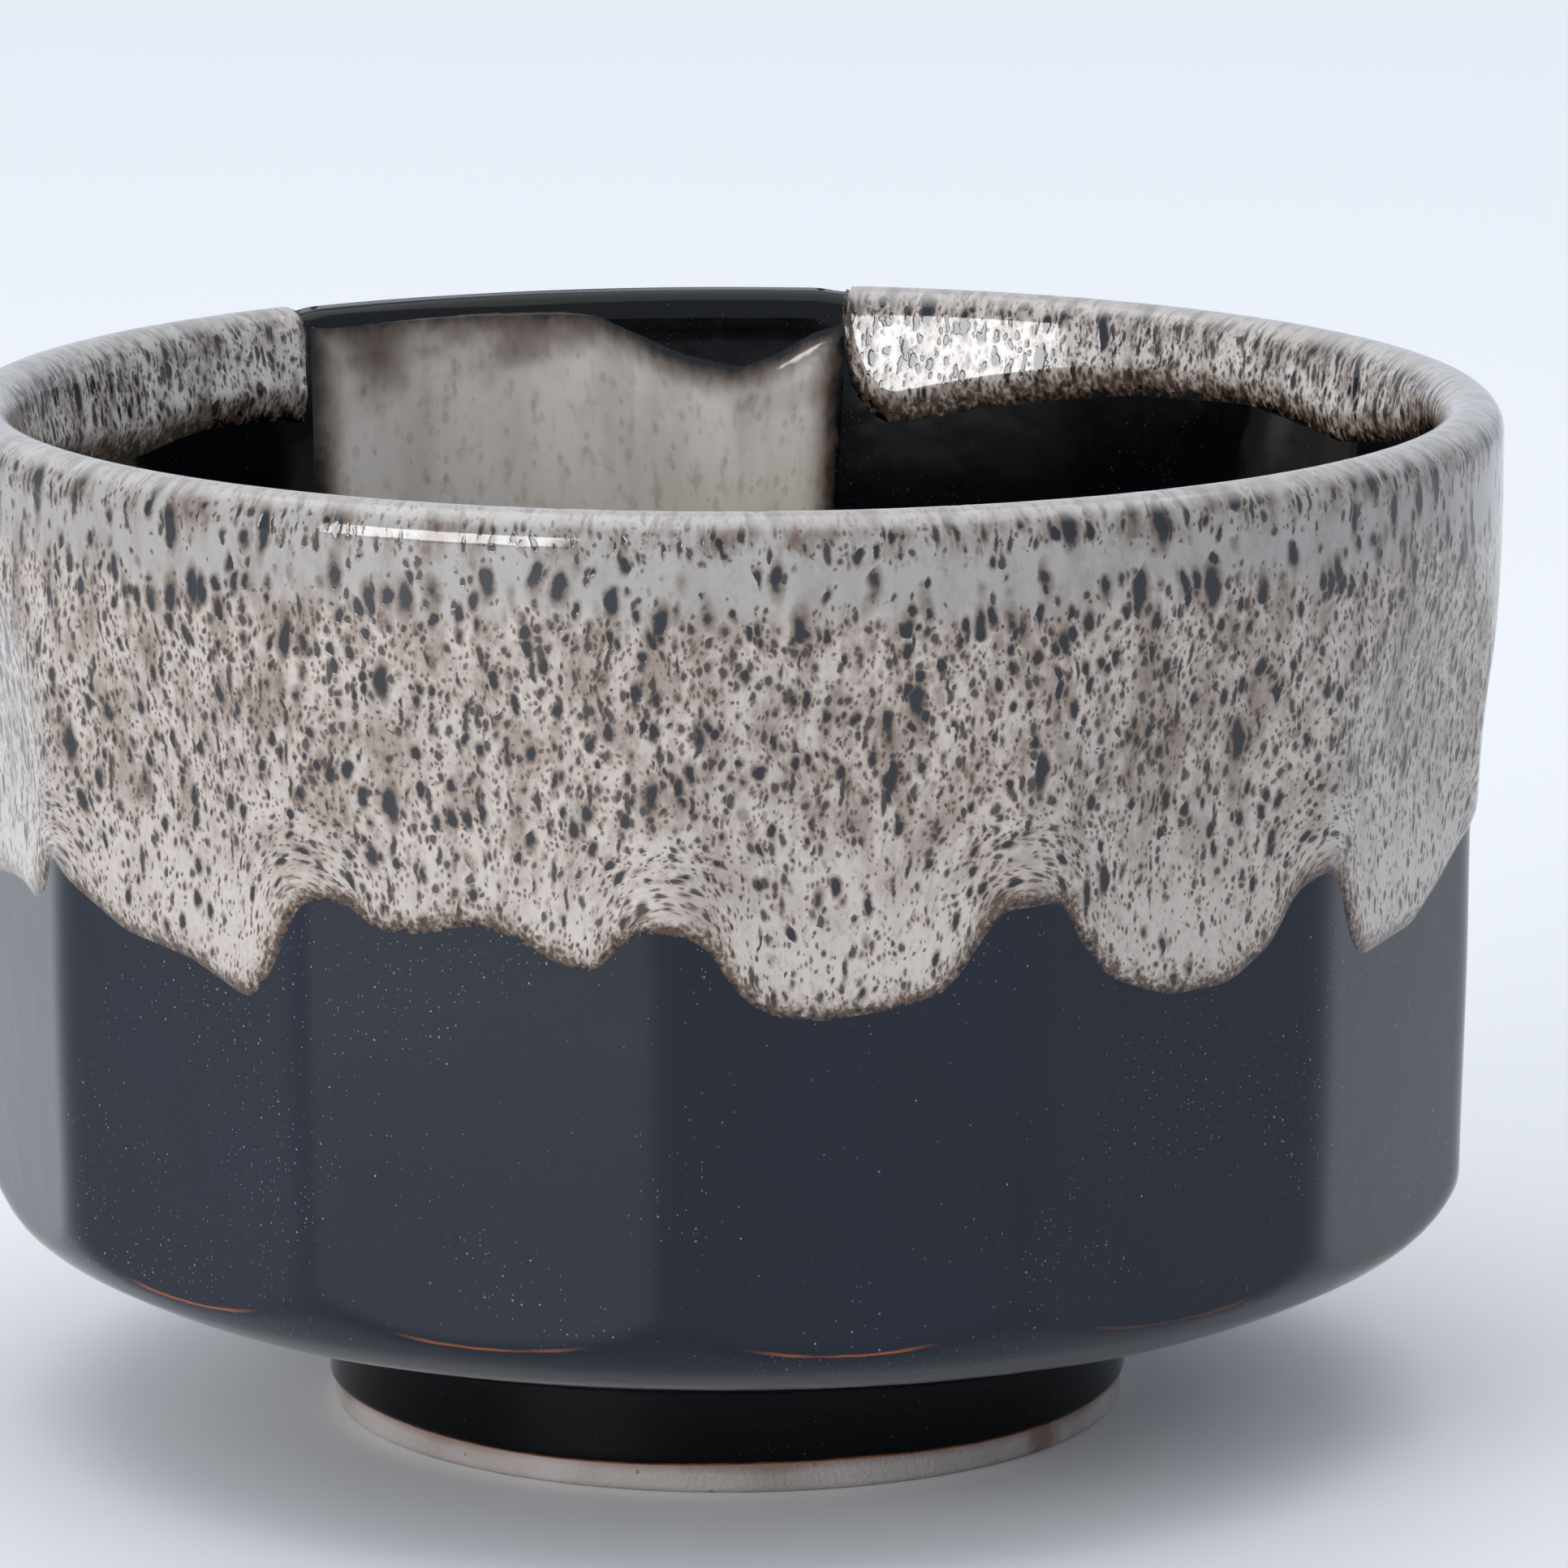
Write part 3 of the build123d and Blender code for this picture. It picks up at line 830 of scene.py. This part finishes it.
def makeRimCream():
    angle = np.arange(rimCream["columns"]) * 360 / rimCream["columns"]
    lipRun = (pi / 2 - 1) * (lipRadius + bothCoats)
    outEnd = roundLine(dripPoints(), angle) + lipRun
    inStart = -(roundLine(rimCream["curtain"], angle) + lipRun)
    beyond = bareRim["half"] + bareRim["overlap"][1] - aroundFrom(angle, bareRim["middle"])
    blend = soften(beyond / bareRim["endRun"])
    inStart = inStart * (1 - blend) + (bareRim["drop"] + lipRun) * blend
    span = outEnd - inStart
    ends = np.array(rimCream["edgeRows"])
    reach = 3.0
    t = np.linspace(0, 1, rimCream["rows"])[:, None]
    s = np.concatenate([
        inStart + ends[:, None],
        (inStart + reach) + t * (span - 2 * reach),
        outEnd - ends[::-1, None],
    ])
    toEdge = []
    for line, radius in zip((outEnd, inStart), rimCream["meanRadii"]):
        slope = (np.roll(line, -1) - np.roll(line, 1)) / (2 * radians(angle[1]) * radius)
        toEdge.append(np.abs(line - s) / np.sqrt(1 + slope**2))
    edge = np.minimum(*toEdge)
    start, most = rimCream["sagRun"]
    sagged = np.clip(-s - start, 0, most) * np.clip(edge / rimCream["bead"], 0, 1) ** 2
    coat = beadCoat(edge) + rimCream["sag"] * sagged
    r, z = onSection(s, coat)
    column, ran = runOff(angle, s, outEnd)
    flow = around(np.full_like(s, rimCream["flowRadius"]), column, -ran)
    inner = np.clip(-s / 4 - 0.2, 0, 1)
    backS = inStart + np.linspace(1, 0, rimCream["backRows"])[:, None] * span
    backCoat = bowl["darkCoat"] - 2 * rimCream["sunk"]
    backR, backZ = onSection(backS, backCoat)
    grid = np.concatenate([around(r, angle, z), around(backR, angle, backZ)])
    none = np.zeros_like(backS)
    attributes = {
        "reach": np.concatenate([facetReach(s, z, coat), facetReach(backS, backZ, backCoat)]) * mm,
        "edge": np.concatenate([edge, none]),
        "inner": np.concatenate([inner, none]),
        "turn": evenTurn(angle, len(s) + len(backS)),
        "flow": np.concatenate([flow, np.zeros((*backS.shape, 3))]) * mm,
    }
    piece = meshFrom("rimCreamGlaze", grid, attributes, wrapRows=True)
    return cutFacets(piece, creamMaterial("creamGlazeRim"))


# cream glaze poured down inside
creamPour = {
    "pale": (0.60, 0.55, 0.505),
    "streak": (0.41, 0.36, 0.315),
    "deep": (0.52, 0.46, 0.33),
    # a brown smudge below the rim: its middle and half width in x, the heights it fades over
    "smudge": (-0.0292, 0.0042, 72.5, 76.0),
    "columns": 120,
    "rows": 170,
    "floorRows": 60,
    "edgeRows": [0, 0.1, 0.25, 0.5, 0.8, 1.2, 1.7, 2.4],  # mm from the edge
    "left": (-34.2, -32.6),  # x at its top and on the floor
    "right": (9.8, 6.6),
    "poolFront": -6.0,
    # depth of its top edge below the rim, by x
    "top": [(-35, 1.1), (-33, 1.3), (-30, 1.3), (-26, 1.1), (-20, 1.0), (-14, 1.2), (-11, 1.8),
            (-8, 3.4), (-4, 5.3), (1, 6.4), (4, 5.2), (7, 3.4), (9.8, 2.6)],
    "flowFrom": (200, 40),  # gives the pour spots of its own
}


def evenRows(length, count):
    # close together at both ends, where the glaze thins out
    ends = np.array(creamPour["edgeRows"])
    return np.concatenate([ends, np.linspace(3, length - 3, count), length - ends[::-1]])


def makeCreamPour():
    onFloor = -1000  # in place of s where the wall has ended
    floor = bowl["underHeight"] + bowl["floorThickness"]
    s = np.linspace(0, sectionS.min(), 1500)
    r, z = onSection(s, bothCoats)
    down = np.clip((bowl["top"] - z) / (bowl["top"] - floor), 0, 1)
    left = creamPour["left"][0] + (creamPour["left"][1] - creamPour["left"][0]) * down
    right = creamPour["right"][0] + (creamPour["right"][1] - creamPour["right"][0]) * down
    width = creamPour["right"][0] - creamPour["left"][0]
    poolMiddle = (creamPour["left"][1] + creamPour["right"][1]) / 2
    poolHalf = (creamPour["right"][1] - creamPour["left"][1]) / 2
    front, back, edges, flows = [], [], [], []
    for u in evenRows(width, creamPour["columns"]) / width:
        x = left * (1 - u) + right * u
        y = np.sqrt(np.clip(r**2 - x**2, 0, None))
        depth = np.interp(x, *np.array(creamPour["top"]).T)
        offMiddle = np.clip(abs(x - poolMiddle) / poolHalf, 0, 1)
        stop = creamPour["poolFront"] + poolHalf * (1 - np.sqrt(1 - offMiddle**2 + 1e-9))
        keep = (bowl["top"] - z > depth) & (y > np.maximum(stop, 0.01)) & (r > abs(x))
        line = np.stack([x, y, s, z], 1)[keep]
        if stop[-1] < 0:  # on across the flat of the floor
            across = np.linspace(line[-1, 1], stop[-1], creamPour["floorRows"])[1:]
            flat = np.tile([line[-1, 0], 0, onFloor, z[-1]], (len(across), 1))
            flat[:, 1] = across
            line = np.concatenate([line, flat])
        steps = np.linalg.norm(np.diff(line[:, [0, 1, 3]], axis=0), axis=1)
        length = np.concatenate([[0], np.cumsum(steps)])
        at = evenRows(length[-1], creamPour["rows"])
        px, py, ps = (np.interp(at, length, line[:, i]) for i in range(3))
        pr = np.hypot(px, py)
        # toward the sides the wall turns away, so x there is worth more than its own length
        worth = np.where(ps > onFloor, pr / np.maximum(py, pr * 0.6), 1)
        sideways = np.minimum(u, 1 - u) * width * worth
        edge = np.minimum(sideways, np.minimum(at, length[-1] - at))
        backCoat = np.full_like(edge, bowl["darkCoat"] - 2 * rimCream["sunk"])
        for coat, rows in ((beadCoat(edge), front), (backCoat, back)):
            sr, sz = onSection(np.clip(ps, sectionS.min(), 0), coat)
            flatPart = ps < sectionS.min() + 0.5
            scale = np.where(flatPart, 1, sr / np.maximum(pr, 1e-6))
            height = np.where(flatPart, floor + coat, sz)
            rows.append(np.stack([px * scale, py * scale, height], 1))
        edges.append(edge)
        across, along = creamPour["flowFrom"]
        flows.append(np.stack([px + across, np.zeros_like(at), along - at], 1))
    front, back, flows = (np.array(a).transpose(1, 0, 2) for a in (front, back, flows))
    edges = np.array(edges).T
    grid = np.concatenate([front, back[::-1]])
    attributes = {
        "edge": np.concatenate([edges, np.zeros_like(edges)]),
        "inner": np.ones(grid.shape[:2]),
        "flow": np.concatenate([flows, flows[::-1]]) * mm,
    }
    piece = meshFrom("innerCreamPour", grid, attributes, wrapRows=True, wrapColumns=False)
    piece.data.materials.append(pourMaterial("creamGlazePour"))
    return piece


def pourMaterial(name):
    # smoother than on the rim, streaked with brown towards its soft edges
    shader = Shader(name)
    place = shader.place()
    flow = shader.attribute("flow", "Vector")
    height = shader.height(place) * 1000
    streaks = shader.noise(shader.scaled(flow, 1, 1, 0.16), 170, 3)
    clouds = shader.noise(flow, 90, 3)
    fine = shader.noise(shader.scaled(flow, 1, 1, 0.5), 900, 3)
    base = shader.mix(shader.step(streaks, 0.40, 0.75), creamPour["pale"], creamPour["streak"])
    low = shader.step(height + clouds * 10, 72, 60)
    base = shader.mix(low * 0.60, base, creamPour["deep"])
    high = shader.step(height + (streaks - 0.5) * 16, 66, 76) * shader.step(clouds, 0.48, 0.66)
    base = shader.mix(high * 0.75, base, creamGlaze["brown"])
    base = shader.mix(shader.step(fine, 0.50, 0.75) * 0.30, base, creamGlaze["brown"])
    middle, half, faint, full = creamPour["smudge"]
    across = shader.add("SeparateXYZ", {}, [place])
    aside = (across - middle).math("ABSOLUTE") + (clouds - 0.5) * 0.01
    smudge = shader.step(aside, half, half * 0.3) * shader.step(height, faint, full)
    base = shader.mix(smudge * 0.75, base, creamGlaze["edge"])
    halo = spotLayer(shader, flow, "small", share=0.25)[1]
    base = shader.mix(halo * 0.22, base, creamGlaze["brown"])
    ragged = shader.attribute("edge") + (streaks - 0.5) * 2.2 + (fine - 0.5) * 1.6
    colour = shader.mix(shader.step(ragged, 3.4, 0.9) * 0.9, base, creamGlaze["edge"])
    # where the pour clears the dark glaze shows, with painted shade
    colour = shader.mix(shader.step(ragged, 1.5, 0.3), colour, darkColour(shader, place, 1.0))
    rough = shader.gloss(place, creamGlaze["roughness"])
    bumps = shader.noise(place, 240)
    return shader.finish(colour, rough, bumps, creamGlaze["peel"], creamGlaze["ior"])


# the foot
foot = {
    "columns": 360,
    "bare": 2.15,  # height of the bare clay below the glaze
    "bareWave": 0.25,
    "coat": 0.4,
    "bead": 0.6,
    "fillet": 1.5,
    "edge": 0.7,
    "taper": 0.8,
    "wellFillet": 1.0,
}
footAngles = np.arange(foot["columns"]) * 360 / foot["columns"]


def makeFootRing():
    outer, top = bowl["footRadius"], bowl["underHeight"]
    inner = outer - bowl["footWall"]
    curve = foot["edge"]
    outline = np.concatenate([
        lineRun((outer, top), (outer, curve), (1, 0), 14)[0],
        arcRun(outer - curve, curve, curve, 0, -90, steps=7)[0][1:],
        lineRun((outer - curve, 0), (inner + curve, 0), (0, -1), 6)[0][1:],
        arcRun(inner + curve, curve, curve, 270, 180, steps=7)[0][1:],
        lineRun((inner, curve), (inner - foot["taper"], top), (-1, 0), 14)[0][1:],
    ])
    a = np.radians(footAngles)
    worn = 0.05 * np.sin(5 * a + 1.1) + 0.04 * np.sin(9 * a)  # cut and wiped by hand
    height = outline[:, 1:]
    lift = np.clip(1 - height / 3, 0, 1) * np.clip(height, 0, 1)
    grid = around(outline[:, :1] + worn * lift, footAngles[None], height)
    piece = meshFrom("footRing", grid, wrapRows=True)
    piece.data.materials.append(clayMaterial("bareStoneware"))
    return piece


def makeFootDark():
    a = np.radians(footAngles)
    line = foot["bare"] + foot["bareWave"] * np.sin(3 * a + 0.7) * np.cos(2 * a)
    top = bowl["underHeight"] - bowl["darkCoat"]
    skin = bowl["footRadius"] + foot["coat"]
    fillet, bead = foot["fillet"], foot["bead"]
    rows = arcRun(skin + fillet, top - fillet, fillet, 90, 180, steps=9)[0].tolist()
    for t in np.linspace(0, 1, 10)[1:]:
        rows.append((skin, (top - fillet) * (1 - t) + (line + bead) * t))
    for b in np.radians([18, 36, 54, 72, 90]):
        rows.append((skin - foot["coat"] * (1 - cos(b)), line + bead * (1 - sin(b))))
    for t in (0.05, 0.5, 1.0):
        rows.append((bowl["footRadius"] - 0.02, line * (1 - t) + top * t))
    radius = np.array([[r] for r, z in rows])
    height = np.array([z + 0 * line for r, z in rows])
    grid = around(radius, footAngles[None], height)
    piece = meshFrom("footDarkGlaze", grid, {"edge": height - line}, wrapRows=True)
    piece.data.materials.append(footGlazeMaterial("darkGlazeFoot"))
    return piece


def footGlazeMaterial(name):
    shader = Shader(name)
    place = shader.place()
    edge = shader.attribute("edge") + shader.noise(place, 500) * 0.3
    # painted shade on the foot's wall, with real rust at the glaze's lower edge
    glaze = darkColour(shader, place, 1.0)
    colour = shader.mix(shader.step(edge, 0.42, 0.20), glaze, darkGlaze["rust"])
    rough = shader.gloss(place, darkGlaze["footRoughness"])
    bumps = shader.noise(place, 220)
    return shader.finish(colour, rough, bumps, darkGlaze["peel"], darkGlaze["footIor"])


def makeFootWell():
    inner, top = bowl["footRadius"] - bowl["footWall"], bowl["underHeight"]
    coat, low, fillet = foot["coat"], foot["bare"], foot["wellFillet"]
    under, hub = top - coat, 0.6
    side = inner - foot["taper"] - coat
    lowSide = inner - foot["taper"] * low / top
    outline = np.concatenate([
        lineRun((hub, under), (side - fillet, under), (0, -1), 24)[0],
        arcRun(side - fillet, under - fillet, fillet, 90, 0, steps=8)[0][1:],
        lineRun((side, under - fillet), (lowSide - coat, low + 0.5), (-1, 0), 10)[0][1:],
        lineRun((lowSide, low), (inner - foot["taper"], top), (1, 0), 6)[0],
        lineRun((inner - foot["taper"], top), (hub, top), (0, 1), 6)[0][1:],
    ])
    grid = around(outline[:, :1], footAngles[None], outline[:, 1:])
    piece = meshFrom("footWellGlaze", grid, poles=[(0, 0, under), (0, 0, top)])
    piece.data.materials.append(darkMaterial("darkGlazeUnder", inside=True))
    return piece


# stage, light and camera
stage = {
    "half": 6.0,
    "tones": ((0.82, 0.82, 0.83), (0.835, 0.835, 0.845)),
    "roughness": 0.6,
    "sky": (0.79, 0.865, 0.975),
    "skyStrength": 0.86,
}
# place, what it points at, size, power, colour and whether it shows in gloss only
lamps = {
    "window": ((-0.92, -1.05, 0.44), (0, 0, 0.07), (0.85, 0.66), 12, (1, 0.98, 0.95), False),
    "windowGlint": ((-0.90, -1.03, 0.43), (0, 0, 0.07), (0.95, 0.62), 15, (0.94, 0.97, 1), True),
    "overhead": ((0.0, 0.2, 2.2), (0, 0, 0), (2.4, 2.4), 20, (1, 0.96, 0.91), False),
}
view = {"place": (0.00446, -0.700, 0.1871), "down": 11.185, "lens": 210.2, "sensor": 36}


def makeStage():
    mesh = bpy.data.meshes.new("floor")
    r = stage["half"]
    mesh.from_pydata([(-r, -r, 0), (r, -r, 0), (r, r, 0), (-r, r, 0)], [], [(0, 1, 2, 3)])
    floor = bpy.data.objects.new("floor", mesh)
    bpy.context.collection.objects.link(floor)
    shader = Shader("paleFloor")
    tone = shader.mix(shader.noise(shader.place(), 3), *stage["tones"])
    mesh.materials.append(shader.finish(tone, stage["roughness"]))


def makeLamp(name, place, target, size, power, colour, glossOnly):
    data = bpy.data.lights.new(name, "AREA")
    data.shape = "RECTANGLE"
    data.size, data.size_y = size
    data.energy = power
    data.color = colour
    lamp = bpy.data.objects.new(name, data)
    lamp.location = place
    toward = Vector(target) - Vector(place)
    lamp.rotation_euler = toward.to_track_quat("-Z", "Y").to_euler()
    lamp.visible_diffuse = not glossOnly
    bpy.context.collection.objects.link(lamp)


def makeLight():
    world = bpy.data.worlds.new("studio")
    world.use_nodes = True
    sky = world.node_tree.nodes["Background"]
    sky.inputs[0].default_value = (*stage["sky"], 1)
    sky.inputs[1].default_value = stage["skyStrength"]
    bpy.context.scene.world = world
    for name, settings in lamps.items():
        makeLamp(name, *settings)


def makeCamera():
    data = bpy.data.cameras.new("camera")
    data.sensor_width = view["sensor"]
    data.lens = view["lens"]
    data.clip_start, data.clip_end = 0.05, 30
    camera = bpy.data.objects.new("camera", data)
    camera.location = view["place"]
    camera.rotation_euler = (radians(90 - view["down"]), 0, 0)
    bpy.context.collection.objects.link(camera)
    bpy.context.scene.camera = camera


makeStage()
makeLight()
makeCamera()
bpy.context.scene.view_settings.view_transform = "Standard"
print("made the stage, the light and the camera")

stood(makeOuterDark(), "dark_glaze", "outer_dark_glaze")
stood(makeInnerDark(), "dark_glaze", "inner_dark_glaze")
stood(makeRimCream(), "cream_glaze", "rim_cream_glaze")
stood(makeCreamPour(), "cream_glaze", "inner_cream_pour")
stood(makeFootRing(), "stoneware_clay", "foot_ring")
stood(makeFootDark(), "dark_glaze", "foot_dark_glaze")
stood(makeFootWell(), "dark_glaze", "foot_well_glaze")

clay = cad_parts["stoneware_body"]
clay.data.materials.clear()
clay.data.materials.append(clayMaterial("stonewareBody"))
